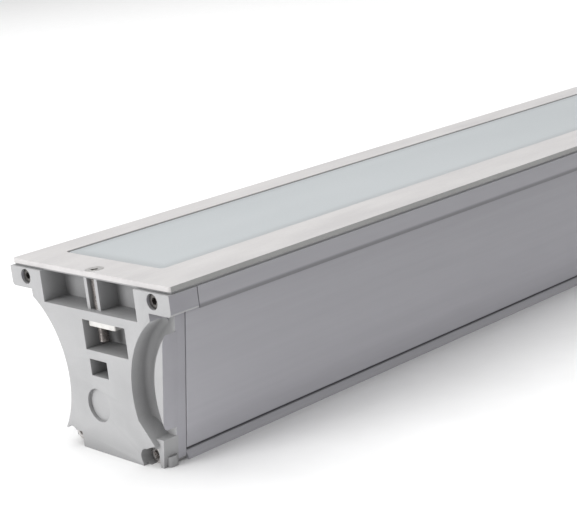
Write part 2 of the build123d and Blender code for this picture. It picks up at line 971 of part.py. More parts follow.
# --- terminal block and earth ---
def terminal_places():
    """X of each way of the terminal block."""
    return [(way - (terminal_ways - 1) / 2) * terminal_pitch for way in range(terminal_ways)]


def terminal_screw_rows():
    """Y of the block's two rows of clamping screws."""
    return [terminal_near + terminal_depth * 0.3, terminal_far - terminal_depth * 0.3]


def terminal_block():
    half = terminal_ways * terminal_pitch / 2 + terminal_end_wall
    top = wall + terminal_height
    body = block(-half, half, terminal_near, terminal_far, wall, top)
    body = chamfer(body.edges().filter_by(Axis.X).group_by(Axis.Z)[-1], terminal_chamfer)
    for x in terminal_places():
        body -= rod_y(x, terminal_wire_z, terminal_hole_radius, terminal_near - 1, terminal_far + 1)
        for y in terminal_screw_rows():
            body -= rod_z(x, y, terminal_screw_radius + play, terminal_wire_z, top + 1)
    return body


def terminal_screws():
    """Slotted grub screws, each just above its wire."""
    screws = []
    bottom = terminal_wire_z + wire_radius + play
    top = bottom + terminal_screw_length
    reach = terminal_screw_radius + 1
    for x in terminal_places():
        for y in terminal_screw_rows():
            slot = block(x - reach, x + reach, y - 0.35, y + 0.35, top - 0.8, top + 1)
            screws.append(rod_z(x, y, terminal_screw_radius, bottom, top) - slot)
    return screws


def earth_lug():
    """Ring terminal on the tray with its barrel towards the far end."""
    y = far_face - earth_end
    barrel_near = y + earth_lug_radius
    barrel_far = barrel_near + earth_barrel_length
    barrel_half = earth_wire_radius + play + earth_lug_thickness
    lug = rod_z(earth_x, y, earth_lug_radius, tray_top, tray_top + earth_lug_thickness)
    lug += block(
        earth_x - barrel_half,
        earth_x + barrel_half,
        y,
        barrel_far,
        tray_top,
        tray_top + earth_lug_thickness,
    )
    lug += rod_y(earth_x, earth_wire_z, barrel_half, barrel_near, barrel_far)
    lug -= rod_y(earth_x, earth_wire_z, earth_wire_radius + play, barrel_near - 1, barrel_far + 1)
    return lug - rod_z(earth_x, y, earth_screw_radius + play, tray_top - 1, tray_top + 4)


def earth_screw():
    y = far_face - earth_end
    seat = tray_top + earth_lug_thickness
    top = seat + earth_head_height
    head = rod_z(earth_x, y, earth_head_radius, seat, top)
    slot = block(earth_x - 4, earth_x + 4, y - 0.5, y + 0.5, top - 1.2, top + 1)
    return head + rod_z(earth_x, y, earth_screw_radius, seat - earth_screw_length, seat) - slot


# --- wires: straight runs joined by arcs ---
def wire(points, radius):
    """Round lead whose corners are as large as its runs allow."""
    bends = []
    for before, here, after in zip(points, points[1:], points[2:]):
        first = Vector(*here) - Vector(*before)
        second = Vector(*after) - Vector(*here)
        turn = math.radians(first.get_angle(second))
        bends.append(0.45 * min(first.length, second.length) / math.tan(turn / 2))
    path = FilletPolyline(*points, radius=bends)
    start = Plane(origin=path @ 0, z_dir=path % 0)
    return sweep(start * Circle(radius), path=path)


def supply_wire_places():
    """X of the leads that run from the terminal block's middle ways to the driver."""
    return terminal_places()[1:-1]


def board_wire_places():
    """X of the two leads that go up to the boards."""
    return [optic_x - board_wire_spacing / 2, optic_x + board_wire_spacing / 2]


def supply_wires():
    """Leads along the housing's floor, under the clips."""
    return [
        wire(
            [
                (x, terminal_near + wire_entry, terminal_wire_z),
                (x, terminal_near - wire_lead_out, terminal_wire_z),
                (x, terminal_near - 3 * wire_lead_out, floor_wire_z),
                (x, driver_far + 3 * wire_lead_out, floor_wire_z),
                (x, driver_far + wire_lead_out, driver_wire_z),
                (x, driver_far - driver_skin, driver_wire_z),
            ],
            wire_radius,
        )
        for x in supply_wire_places()
    ]


def wire_clips():
    """Saddles on the floor that hold the supply leads down."""
    clips = []
    reach = supply_wire_places()[-1] + wire_radius + clip_wall
    first = driver_far + 4 * wire_lead_out
    last = terminal_near - 4 * wire_lead_out
    for n in range(clip_count):
        y = first + (last - first) * n / (clip_count - 1)
        near = y - clip_width / 2
        far = y + clip_width / 2
        clip = block(-reach, reach, near, far, wall, floor_wire_z + wire_radius + clip_wall)
        for x in supply_wire_places():
            clip -= rod_y(x, floor_wire_z, wire_radius + play, near - 1, far + 1)
        clips.append(clip)
    return clips


def board_wires():
    """Leads from the driver, round the tray's near end, down on to the board."""
    bend_y = near_face + (profile_start + tray_end_gap) / 2
    above_board = board_top + wire_radius + play
    return [
        wire(
            [
                (x, driver_near + driver_skin, driver_wire_z),
                (x, bend_y, driver_wire_z),
                (x, bend_y, above_board),
                (x, near_face + tray_end_gap + board_wire_lap, above_board),
            ],
            wire_radius,
        )
        for x in board_wire_places()
    ]


def earth_wire():
    """Lead from the last terminal way, round the tray's far end, to the ring terminal."""
    way_x = terminal_places()[-1]
    bend_y = far_face - (profile_start + tray_end_gap) / 2
    barrel_near = far_face - earth_end + earth_lug_radius
    return wire(
        [
            (way_x, terminal_far - wire_entry, terminal_wire_z),
            (way_x, terminal_far + wire_lead_out, terminal_wire_z),
            (earth_x, bend_y, terminal_wire_z + 2),
            (earth_x, bend_y, earth_wire_z),
            (earth_x, barrel_near + play, earth_wire_z),
        ],
        earth_wire_radius,
    )


# --- cable gland and vent, in the far cap's knock-out ---
def gland_washer():
    back = far_face + gland_washer_thickness
    ring = rod_y(gland_x, knockout_z, gland_washer_radius, far_face, back)
    return ring - rod_y(gland_x, knockout_z, gland_thread_radius + play, far_face - 1, back + 1)


def gland_body():
    """Threaded tube with a hexagon; its outer mouth holds the rubber seal."""
    seat = far_face + gland_washer_thickness
    inner_end = seat - gland_inner_length
    body = hex_y(gland_x, knockout_z, gland_hex_across, seat, seat + gland_hex_length)
    body += rod_y(gland_x, knockout_z, gland_thread_radius, inner_end, gland_mouth)
    body -= rod_y(gland_x, knockout_z, gland_bore_radius, inner_end - 1, gland_mouth + 1)
    seal_near = gland_mouth - gland_seal_length
    return body - rod_y(gland_x, knockout_z, gland_seal_radius + play, seal_near, gland_mouth + 1)


def gland_lock_nut():
    inner_wall = far_face - knockout_depth - cap_skin
    nut = hex_y(gland_x, knockout_z, gland_nut_across, inner_wall - gland_nut_length, inner_wall)
    return nut - rod_y(
        gland_x, knockout_z, gland_thread_radius + play, inner_wall - gland_nut_length - 1, inner_wall + 1
    )


def gland_seal():
    near = gland_mouth - gland_seal_length
    seal = rod_y(gland_x, knockout_z, gland_seal_radius, near, gland_mouth)
    return seal - rod_y(gland_x, knockout_z, cable_radius, near - 1, gland_mouth + 1)


def gland_dome_nut():
    """Nut over the outer thread, domed towards the cable."""
    near = gland_mouth - gland_outer_thread + seat_gap
    end = far_face + gland_reach
    base = gland_hex_across / 2
    tip = gland_bore_radius + gland_dome_rim
    swell = ((base + tip) / 2 + gland_dome_swell, (gland_mouth + end) / 2 + gland_dome_swell)
    half = make_face(
        [
            Line((0, gland_mouth), (base, gland_mouth)),
            ThreePointArc((base, gland_mouth), swell, (tip, end)),
            Line((tip, end), (0, end)),
            Line((0, end), (0, gland_mouth)),
        ]
    )
    nut = hex_y(gland_x, knockout_z, gland_hex_across, near, gland_mouth)
    nut += Pos(gland_x, 0, knockout_z) * revolve(half, Axis.Y)
    nut -= rod_y(gland_x, knockout_z, gland_thread_radius + play, near - 1, gland_mouth + play)
    return nut - rod_y(gland_x, knockout_z, gland_bore_radius, near, end + 1)


def vent_seal():
    back = far_face + vent_seal_thickness
    ring = rod_y(-vent_x, knockout_z, vent_hex_across / 2 - play, far_face, back)
    return ring - rod_y(-vent_x, knockout_z, vent_radius + play, far_face - 1, back + 1)


def vent_plug():
    """Hexagon plug with a ring of breathing holes round its head."""
    seat = far_face + vent_seal_thickness
    head_end = seat + vent_head_length
    plug = hex_y(-vent_x, knockout_z, vent_hex_across, seat, head_end)
    plug += rod_y(-vent_x, knockout_z, vent_radius, seat - vent_thread_length, seat)
    for n in range(vent_hole_count):
        angle = 2 * math.pi * n / vent_hole_count
        x = -vent_x + vent_hole_circle * math.cos(angle)
        z = knockout_z + vent_hole_circle * math.sin(angle)
        plug -= rod_y(x, z, vent_hole_radius, head_end - 2, head_end + 1)
    return plug


# --- every node by name ---
def nodes():
    near_upper = upper_screws()
    near_lower = lower_screws()
    return {
        "housing_profile": housing_profile(),
        "end_cap_near": end_cap(),
        "end_cap_far": end_cap_far(),
        "end_gasket_near": end_gasket(),
        "end_gasket_far": at_far_end(end_gasket()),
        "upper_screws_near": near_upper,
        "upper_screws_far": [at_far_end(screw) for screw in near_upper],
        "lower_screws_near": near_lower,
        "lower_screws_far": [at_far_end(screw) for screw in near_lower],
        "top_frame": top_frame(),
        "frame_gasket": frame_gasket(),
        "glass_pane": glass_block(0),
        "glass_seal": glass_seal(),
        "pane_carrier": pane_carrier(),
        "clamp_screw_near": clamp_screw(),
        "clamp_screw_far": at_far_end(clamp_screw()),
        "clamp_plate_near": clamp_plate(),
        "clamp_plate_far": at_far_end(clamp_plate()),
        "led_tray": led_tray(),
        "tray_screws": tray_screws(),
        "led_boards": led_boards(),
        "led_chips": led_chips(),
        "lens_strips": lens_strips(),
        "reflector_left": reflector(-1),
        "reflector_right": reflector(1),
        "driver_pad": driver_pad(),
        "driver_case": driver_case(),
        "driver_board": driver_board(),
        "driver_components": driver_components(),
        "driver_lid": driver_lid(),
        "driver_screws": driver_screws(),
        "terminal_block": terminal_block(),
        "terminal_screws": terminal_screws(),
        "earth_lug": earth_lug(),
        "earth_screw": earth_screw(),
        "supply_wires": supply_wires(),
        "wire_clips": wire_clips(),
        "board_wires": board_wires(),
        "earth_wire": earth_wire(),
        "gland_washer": gland_washer(),
        "gland_body": gland_body(),
        "gland_lock_nut": gland_lock_nut(),
        "gland_seal": gland_seal(),
        "gland_dome_nut": gland_dome_nut(),
        "vent_seal": vent_seal(),
        "vent_plug": vent_plug(),
    }


os.makedirs("parts", exist_ok=True)
for name, shape in nodes().items():
    if isinstance(shape, list):
        shape = Compound(children=shape)
    export_step(shape, "parts/" + name + ".step")
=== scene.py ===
import json
import math

import bmesh
import bpy
from mathutils import Matrix, Vector


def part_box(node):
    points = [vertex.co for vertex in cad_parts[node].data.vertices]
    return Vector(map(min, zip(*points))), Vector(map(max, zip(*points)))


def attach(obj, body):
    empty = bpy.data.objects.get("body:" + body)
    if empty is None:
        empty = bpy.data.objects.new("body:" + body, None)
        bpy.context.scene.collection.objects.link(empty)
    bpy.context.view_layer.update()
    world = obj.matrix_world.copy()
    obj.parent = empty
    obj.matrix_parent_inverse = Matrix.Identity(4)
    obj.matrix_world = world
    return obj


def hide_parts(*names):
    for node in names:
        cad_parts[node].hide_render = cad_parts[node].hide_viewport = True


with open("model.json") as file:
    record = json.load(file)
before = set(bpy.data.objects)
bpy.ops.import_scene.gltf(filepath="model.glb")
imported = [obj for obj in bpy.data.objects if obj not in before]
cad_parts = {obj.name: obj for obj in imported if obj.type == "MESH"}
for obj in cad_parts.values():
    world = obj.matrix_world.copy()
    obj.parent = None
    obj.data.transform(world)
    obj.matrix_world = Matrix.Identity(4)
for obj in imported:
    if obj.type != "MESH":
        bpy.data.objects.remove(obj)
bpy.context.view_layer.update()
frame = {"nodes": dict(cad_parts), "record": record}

MM = 0.001
SAME_POINT = 0.000001
WHOLE_HEIGHT = 100  # mm that a row of height bands spans
MIX_FACTOR, MIX_A, MIX_B, MIX_RESULT = 0, 6, 7, 2  # sockets of a Mix node set to colour

scene = bpy.context.scene
near_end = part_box("end_cap_near")[0].y
middle = (near_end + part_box("end_cap_far")[1].y) / 2
slots = {part["node"]: part["material_slot"] for part in frame["record"]["subparts"]}
body_of = {node: body for body, nodes in frame["record"]["behaviour"]["bodies"].items() for node in nodes}


# --- shader nodes ---
def shader(name):
    """New node material with its Principled shader and the object's own coordinates."""
    material = bpy.data.materials.new(name)
    material.use_nodes = True
    tree = material.node_tree
    principled = tree.nodes["Principled BSDF"]
    place = tree.nodes.new("ShaderNodeTexCoord").outputs["Object"]
    return material, tree, principled, place


def stretched(tree, place, scale):
    """Coordinates scaled apart along the three axes."""
    mapping = tree.nodes.new("ShaderNodeMapping")
    mapping.inputs["Scale"].default_value = scale
    tree.links.new(place, mapping.inputs["Vector"])
    return mapping.outputs["Vector"]


def axes(tree, place):
    """Sockets of the x, y and z coordinates."""
    split = tree.nodes.new("ShaderNodeSeparateXYZ")
    tree.links.new(place, split.inputs["Vector"])
    return split.outputs


def noise(tree, place, scale, detail=3.0):
    node = tree.nodes.new("ShaderNodeTexNoise")
    node.inputs["Scale"].default_value = scale
    node.inputs["Detail"].default_value = detail
    node.inputs["Roughness"].default_value = 0.55
    tree.links.new(place, node.inputs["Vector"])
    return node.outputs["Fac"]


def mapped(tree, value, start, end, low=0, high=1, smooth=False):
    """Value carried from the range start to end into low to high, and held at its ends."""
    node = tree.nodes.new("ShaderNodeMapRange")
    node.interpolation_type = "SMOOTHSTEP" if smooth else "LINEAR"
    node.inputs["From Min"].default_value = start
    node.inputs["From Max"].default_value = end
    node.inputs["To Min"].default_value = low
    node.inputs["To Max"].default_value = high
    tree.links.new(value, node.inputs["Value"])
    return node.outputs["Result"]


def spread(tree, value, low, high):
    """Noise turned into a range of numbers."""
    return mapped(tree, value, 0.3, 0.7, low, high)


def tint(tree, value, dark, light):
    """Noise turned into a run of colours."""
    node = tree.nodes.new("ShaderNodeValToRGB")
    node.color_ramp.elements[0].position = 0.32
    node.color_ramp.elements[0].color = (*dark, 1)
    node.color_ramp.elements[1].position = 0.68
    node.color_ramp.elements[1].color = (*light, 1)
    tree.links.new(value, node.inputs["Fac"])
    return node.outputs["Color"]


def reckoned(tree, operation, value):
    """Math node with one socket linked; its second input stays free."""
    node = tree.nodes.new("ShaderNodeMath")
    node.operation = operation
    tree.links.new(value, node.inputs[0])
    return node


def bumps(tree, principled, value, strength, distance):
    node = tree.nodes.new("ShaderNodeBump")
    node.inputs["Strength"].default_value = strength
    node.inputs["Distance"].default_value = distance
    tree.links.new(value, node.inputs["Height"])
    tree.links.new(node.outputs["Normal"], principled.inputs["Normal"])


def multiplied(tree, factor):
    """Base colour multiplied by a grey factor."""
    base = tree.nodes["Principled BSDF"].inputs["Base Color"]
    colour = base.links[0].from_socket
    mix = tree.nodes.new("ShaderNodeMix")
    mix.data_type = "RGBA"
    mix.blend_type = "MULTIPLY"
    mix.inputs[MIX_FACTOR].default_value = 1
    tree.links.new(colour, mix.inputs[MIX_A])
    tree.links.new(factor, mix.inputs[MIX_B])
    tree.links.new(mix.outputs[MIX_RESULT], base)


# --- materials ---
def coated(
    name, dark, light, rough, scale=(1, 1, 1), blotch=45, grain=1400, depth=0.04, metal=0.0, strength=0.25
):
    """Painted or bare metal: slow blotches in the colour, fine grain in the roughness and the bump."""
    material, tree, principled, place = shader(name)
    where = stretched(tree, place, scale)
    tree.links.new(tint(tree, noise(tree, where, blotch), dark, light), principled.inputs["Base Color"])
    fine = noise(tree, where, grain, 2.0)
    tree.links.new(spread(tree, fine, rough - 0.06, rough + 0.06), principled.inputs["Roughness"])
    bumps(tree, principled, fine, strength, depth * MM)
    principled.inputs["Metallic"].default_value = metal
    return material


def moulded(name, dark, light, rough):
    return coated(name, dark, light, rough, grain=900, depth=0.03, strength=0.3)


def painted_height_shade(material, stops):
    """Painted shade: colour made darker by height over the ground: rows of height in mm and grey level."""
    tree = material.node_tree
    place = tree.nodes.new("ShaderNodeTexCoord").outputs["Object"]
    ramp = tree.nodes.new("ShaderNodeValToRGB")
    elements = ramp.color_ramp.elements
    for n, (z, level) in enumerate(stops):
        position = z / WHOLE_HEIGHT
        stop = elements[n] if n < 2 else elements.new(position)
        stop.position = position
        stop.color = (level, level, level, 1)
    height = mapped(tree, axes(tree, place)["Z"], 0, WHOLE_HEIGHT * MM)
    tree.links.new(height, ramp.inputs["Fac"])
    multiplied(tree, ramp.outputs["Color"])


def painted_recess_shade(material, reach, low):
    """Painted shade: colour made darker in corners and recesses, where less light reaches."""
    tree = material.node_tree
    corner = tree.nodes.new("ShaderNodeAmbientOcclusion")
    corner.samples = 8
    corner.inputs["Distance"].default_value = reach
    multiplied(tree, mapped(tree, corner.outputs["AO"], 0.25, 0.8, low))


def frosted():
    """Etched glass: pale blue green, slightly see-through, darker along its edges, with a soft sheen."""
    material, tree, principled, place = shader("frosted_glass")
    cloud = noise(tree, stretched(tree, place, (1, 0.35, 1)), 14, 2.0)
    colour = tint(tree, cloud, (0.475, 0.505, 0.52), (0.52, 0.55, 0.565))
    tree.links.new(colour, principled.inputs["Base Color"])
    fine = noise(tree, place, 2600, 2.0)
    tree.links.new(spread(tree, fine, 0.30, 0.42), principled.inputs["Roughness"])
    bumps(tree, principled, fine, 0.2, 0.02 * MM)
    principled.inputs["IOR"].default_value = 1.5
    principled.inputs["Transmission Weight"].default_value = 0.12
    low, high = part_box("glass_pane")
    places = axes(tree, place)
    borders = []
    for axis in (0, 1):
        shift = reckoned(tree, "SUBTRACT", places[axis])
        shift.inputs[1].default_value = (low[axis] + high[axis]) / 2
        away = reckoned(tree, "ABSOLUTE", shift.outputs[0])
        half = (high[axis] - low[axis]) / 2
        borders.append(mapped(tree, away.outputs[0], half - 11 * MM, half - 3 * MM, smooth=True))
    most = reckoned(tree, "MAXIMUM", borders[0])
    tree.links.new(borders[1], most.inputs[1])
    multiplied(tree, mapped(tree, most.outputs[0], 0, 1, 1, 0.84))
    return material


def clear():
    """Clear moulded plastic of the lenses."""
    material, tree, principled, place = shader("clear_lens")
    swirl = noise(tree, place, 160, 2.0)
    tree.links.new(tint(tree, swirl, (0.9, 0.93, 0.94), (0.98, 0.99, 1.0)), principled.inputs["Base Color"])
    tree.links.new(spread(tree, swirl, 0.04, 0.1), principled.inputs["Roughness"])
    principled.inputs["IOR"].default_value = 1.49
    principled.inputs["Transmission Weight"].default_value = 0.9
    return material


def thread_shaded_under_frame():
    """Steel screw: its head is bare steel, its thread below the frame painted dark as the shade under the
    frame.
    """
    material, tree, principled, place = shader("thread_shaded_under_frame")
    frame_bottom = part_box("top_frame")[0].z
    mix = tree.nodes.new("ShaderNodeMix")
    mix.data_type = "RGBA"
    grain = noise(tree, place, 900, 2.0)
    height = mapped(tree, axes(tree, place)["Z"], frame_bottom - 0.5 * MM, frame_bottom + 0.5 * MM)
    tree.links.new(height, mix.inputs[MIX_FACTOR])
    # below the frame's underside: painted shade
    tree.links.new(tint(tree, grain, (0.13, 0.12, 0.115), (0.24, 0.22, 0.21)), mix.inputs[MIX_A])
    tree.links.new(tint(tree, grain, (0.40, 0.39, 0.38), (0.55, 0.54, 0.53)), mix.inputs[MIX_B])
    tree.links.new(mix.outputs[MIX_RESULT], principled.inputs["Base Color"])
    tree.links.new(spread(tree, grain, 0.28, 0.4), principled.inputs["Roughness"])
    bumps(tree, principled, grain, 0.2, 0.02 * MM)
    principled.inputs["Metallic"].default_value = 0.7
    return material


# scale of the grain along each axis: under 1 it is drawn out along the light
EVEN = (1, 1, 1)
PLATE = (1, 0.25, 1)
DRAWN = (1, 0.04, 1)
SHEET = (1, 0.05, 1)
MILLED = (1, 0.03, 1)

# darkest and lightest colour, roughness, stretch, scale of blotches and of grain, bump depth in mm, metallic
COATED = {
    "extrusion_grey": ((0.415, 0.41, 0.44), (0.435, 0.43, 0.46), 0.45, DRAWN, 220, 2200, 0.02),
    "cast_grey": ((0.36, 0.36, 0.365), (0.395, 0.395, 0.40), 0.5, EVEN, 45, 1100, 0.05),
    # painted shade: the cast paint tinted violet, as the caps' sideways faces read in shade
    "cast_side_shade": ((0.37, 0.365, 0.395), (0.395, 0.39, 0.42), 0.5, EVEN, 45, 1100, 0.05),
    "frame_satin": ((0.50, 0.485, 0.485), (0.57, 0.555, 0.55), 0.4, PLATE, 70, 1700, 0.03),
    # painted reflection: the frame's colour made dark on its sideways faces, as they mirror dark
    # surroundings
    "frame_side_dark_reflection": ((0.27, 0.27, 0.265), (0.31, 0.31, 0.305), 0.4, PLATE, 70, 1700, 0.03),
    "stainless": ((0.50, 0.48, 0.47), (0.66, 0.64, 0.63), 0.25, EVEN, 500, 2400, 0.02, 1.0),
    "socket_steel": ((0.10, 0.095, 0.09), (0.17, 0.16, 0.155), 0.3, EVEN, 500, 2400, 0.02, 0.8),
    "bright_plate": ((0.62, 0.61, 0.59), (0.74, 0.73, 0.71), 0.34, EVEN, 300, 2000, 0.02, 0.6),
    "bare_aluminium": ((0.55, 0.56, 0.57), (0.64, 0.65, 0.66), 0.35, MILLED, 300, 2200, 0.02, 0.9),
    "reflector_mirror": ((0.8, 0.81, 0.82), (0.88, 0.89, 0.9), 0.12, SHEET, 200, 1500, 0.01, 1.0),
    "brass_part": ((0.55, 0.38, 0.14), (0.66, 0.48, 0.2), 0.3, EVEN, 400, 2000, 0.02, 1.0),
    "tin_lug": ((0.5, 0.5, 0.48), (0.62, 0.62, 0.6), 0.3, EVEN, 400, 2000, 0.02, 1.0),
    "plated_brass": ((0.5, 0.49, 0.46), (0.62, 0.61, 0.58), 0.25, EVEN, 260, 1800, 0.02, 1.0),
}

# darkest and lightest colour, roughness
MOULDED = {
    "joint_grey": ((0.33, 0.33, 0.35), (0.37, 0.37, 0.39), 0.65),
    "seal_rubber": ((0.022, 0.022, 0.024), (0.035, 0.035, 0.037), 0.7),
    "gasket_grey": ((0.26, 0.26, 0.265), (0.31, 0.31, 0.315), 0.65),
    "lip_rubber": ((0.11, 0.11, 0.115), (0.14, 0.14, 0.145), 0.6),
    "silicone": ((0.42, 0.43, 0.44), (0.48, 0.49, 0.5), 0.6),
    "board_white": ((0.72, 0.74, 0.73), (0.78, 0.8, 0.79), 0.4),
    "board_green": ((0.02, 0.12, 0.04), (0.03, 0.16, 0.06), 0.4),
    "chip_yellow": ((0.72, 0.5, 0.08), (0.8, 0.6, 0.14), 0.3),
    "driver_white": ((0.6, 0.6, 0.57), (0.68, 0.68, 0.65), 0.5),
    "component_black": ((0.015, 0.015, 0.018), (0.03, 0.03, 0.034), 0.35),
    "terminal_plastic": ((0.5, 0.5, 0.45), (0.58, 0.58, 0.53), 0.45),
    "wire_jacket": ((0.05, 0.055, 0.08), (0.07, 0.08, 0.11), 0.45),
    "earth_jacket": ((0.03, 0.2, 0.02), (0.5, 0.45, 0.03), 0.45),
    "vent_plastic": ((0.03, 0.03, 0.033), (0.05, 0.05, 0.053), 0.5),
}

# painted shade: dark in the groove over the foot rail and in the corner under the top rim, and darker up the
# side towards the rim
EXTRUSION_SHADE_BANDS = (
    (0, 0.95), (3.9, 0.95), (4.05, 0.1), (5.75, 0.1), (5.9, 1), (18, 1),
    (45, 0.85), (71, 0.76), (74, 0.44), (75.4, 0.34), (77, 0.4), (78, 0.72),
)
# painted shade on the caps' sideways faces: darker up the side and under the rim
SIDE_SHADE_BANDS = ((0, 1), (18, 1), (45, 0.86), (71, 0.8), (74, 0.56), (75.4, 0.56), (78, 0.74))

finish = {name: coated(name, *values) for name, values in COATED.items()}
finish.update({name: moulded(name, *values) for name, values in MOULDED.items()})
finish["frosted_glass"] = frosted()
finish["clear_lens"] = clear()
finish["thread_shaded_under_frame"] = thread_shaded_under_frame()
# painted shade by height on the extrusion and on the caps' sideways faces
painted_height_shade(finish["extrusion_grey"], EXTRUSION_SHADE_BANDS)
painted_height_shade(finish["cast_side_shade"], SIDE_SHADE_BANDS)
# painted shade in the corners and recesses of the cast grey parts
painted_recess_shade(finish["cast_grey"], 20 * MM, 0.6)

# nodes whose finish in the photo isn't that of their slot
looks = dict(slots)
looks["frame_gasket"] = "gasket_grey"
for end in ("near", "far"):
    looks["end_gasket_" + end] = "joint_grey"
    looks["upper_screws_" + end] = "socket_steel"
    looks["clamp_screw_" + end] = "thread_shaded_under_frame"
for node, thing in frame["nodes"].items():
    for holder in thing.material_slots:
        holder.material = finish[looks[node]]


# --- mesh helpers ---
def riding(name, mesh, node, look):
    """Mesh object that rides on a node's body, with the finish it is given."""
    made = bpy.data.objects.new(name, mesh)
    scene.collection.objects.link(made)
    mesh.materials.clear()
    mesh.materials.append(finish[look])
    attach(made, body_of[node])
    return made


def piece(name, mesh, node):
    """Mesh object that stands for a node and takes its finish."""
    made = riding(name, mesh, node, looks[node])
    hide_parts(node)
    return made


def unpacked(node):
    """Copy of a node's mesh, and its bmesh without doubled points and needless edges."""
    mesh = frame["nodes"][node].data.copy()
    work = bmesh.new()
    work.from_mesh(mesh)
    bmesh.ops.remove_doubles(work, verts=work.verts, dist=SAME_POINT)
    bmesh.ops.dissolve_limit(work, angle_limit=math.radians(0.5), verts=work.verts, edges=work.edges)
    return mesh, work


def written(work, mesh, smooth=True):
    """The bmesh put back into its mesh."""
    work.to_mesh(mesh)
    work.free()
    for face in mesh.polygons:
        face.use_smooth = smooth
    return mesh


def skin(work, first, second):
    """Faces between two rings of points."""
    for n in range(len(first)):
        m = (n + 1) % len(first)
        work.faces.new((first[n], first[m], second[m], second[n]))


def bevelled(made, width, segments, angle=None):
    """Rounded edges: those sharper than an angle, or those with a bevel weight."""
    bevel = made.modifiers.new("round", "BEVEL")
    bevel.width = width
    bevel.segments = segments
    bevel.limit_method = "WEIGHT" if angle is None else "ANGLE"
    if angle is not None:
        bevel.angle_limit = math.radians(angle)
    return bevel


def flattened(made):
    """Large faces shaded flat beside their rounded edges."""
    made.modifiers.new("flat", "WEIGHTED_NORMAL").weight = 100


def shaded_side_finish(mesh, look, least_x):
    """Painted shade and reflection: another finish, toned as these faces read in shade, for the faces that
    look sideways beyond a distance from the middle.
    """
    mesh.materials.append(finish[look])
    for face in mesh.polygons:
        if abs(face.normal.x) > 0.9 and abs(face.center.x) > least_x:
            face.material_index = 1


# --- nodes with rounded edges ---
for node, width in (
    ("end_cap_near", 0.5 * MM),
    ("end_cap_far", 0.5 * MM),
    ("housing_profile", 0.4 * MM),
    ("clamp_plate_near", 0.3 * MM),
    ("clamp_plate_far", 0.3 * MM),
    ("gland_dome_nut", 0.4 * MM),
    ("gland_body", 0.3 * MM),
    ("gland_washer", 0.2 * MM),
    ("vent_plug", 0.3 * MM),
):
    mesh, work = unpacked(node)
    made = piece(node + "_rounded", written(work, mesh), node)
    bevelled(made, width, 3, 30).harden_normals = True
    if node.startswith("end_cap"):
        # the caps' sideways faces take a copy of their paint toned as painted shade
        shaded_side_finish(mesh, "cast_side_shade", 40 * MM)


# --- frame and glass ---
def framed():
    """The frame plate with its opening and its outer edges bevelled."""
    mesh, work = unpacked("top_frame")
    low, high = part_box("top_frame")
    inset = 12 * MM
    weight = work.edges.layers.float.new("bevel_weight_edge")
    for edge in work.edges:
        ends = [v.co for v in edge.verts]
        top = all(abs(e.z - high.z) < 0.01 * MM for e in ends)
        inside = all(low.x + inset < e.x < high.x - inset for e in ends)
        inside = inside and all(low.y + inset < e.y < high.y - inset for e in ends)
        if edge.is_manifold and edge.calc_face_angle() > math.radians(50):
            edge[weight] = 1 if top and inside else 0.5
    made = piece("top_frame_bevelled", written(work, mesh), "top_frame")
    # the frame's sideways faces painted dark as a reflection of dark surroundings
    shaded_side_finish(mesh, "frame_side_dark_reflection", high.x - 1 * MM)
    bevelled(made, 0.8 * MM, 3)
    flattened(made)


def rectangle(low, high):
    return (low.x, low.y), (high.x, low.y), (high.x, high.y), (low.x, high.y)


def rounded_outline(inset, radius):
    """Rounded rectangle, inset from the glass pane's outline."""
    low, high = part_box("glass_pane")
    points = []
    for corner, (x, y) in enumerate(rectangle(low, high)):
        cx = x + (inset + radius) * (1 if x == low.x else -1)
        cy = y + (inset + radius) * (1 if y == low.y else -1)
        for n in range(7):
            a = math.radians(180 + 90 * corner + 15 * n)
            points.append((cx + radius * math.cos(a), cy + radius * math.sin(a)))
    return points


def ring(work, outline, z):
    return [work.verts.new((x, y, z)) for x, y in outline]


def stepped_glass():
    """Glass pane with a raised middle that nearly fills the frame's opening."""
    low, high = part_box("glass_pane")
    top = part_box("top_frame")[1].z - 0.4 * MM
    plate = rectangle(low, high)
    step = rounded_outline(2.8 * MM, 1.0 * MM)
    work = bmesh.new()
    base = ring(work, plate, low.z)
    rim = ring(work, plate, high.z)
    foot = ring(work, step, high.z)
    crown = ring(work, step, top)
    work.faces.new(base)
    work.faces.new(crown)
    skin(work, base, rim)
    skin(work, foot, crown)
    open_edges = [e for e in work.edges if len(e.link_faces) == 1]
    bmesh.ops.triangle_fill(work, use_beauty=True, edges=open_edges)
    bmesh.ops.recalc_face_normals(work, faces=work.faces)
    mesh = written(work, bpy.data.meshes.new("glass_pane_stepped"))
    made = piece("glass_pane_stepped", mesh, "glass_pane")
    bevelled(made, 0.4 * MM, 3, 50)
    flattened(made)


def seal_lip():
    """Rubber lip that fills the gap between the frame's opening and the glass."""
    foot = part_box("glass_seal")[1].z
    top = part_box("top_frame")[1].z - 0.5 * MM
    outer = rounded_outline(1.85 * MM, 1.95 * MM)
    inner = rounded_outline(2.75 * MM, 1.05 * MM)
    work = bmesh.new()
    rings = [ring(work, line, z) for line, z in ((outer, foot), (outer, top), (inner, top), (inner, foot))]
    for first, second in zip(rings, rings[1:] + rings[:1]):
        skin(work, first, second)
    bmesh.ops.recalc_face_normals(work, faces=work.faces)
    mesh = written(work, bpy.data.meshes.new("glass_seal_lip"), smooth=False)
    bevelled(riding("glass_seal_lip", mesh, "glass_seal", "lip_rubber"), 0.2 * MM, 2, 30)


framed()
stepped_glass()
seal_lip()


# --- screws: rows of radius and distance along an axis ---
KNURL_DEPTH = 0.13 * MM
SOCKET_CHAMFER = 0.3 * MM


def hexagon(across):
    """Radius of a hexagon's outline at an angle."""
    step = math.pi / 3
    return lambda a, t: across / 2 / math.cos(a % step - step / 2)


def knurl(radius, ridges):
    """Radius of a knurled rim at an angle."""
    return lambda a, t: radius - KNURL_DEPTH * (0.5 - 0.5 * math.cos(ridges * a))


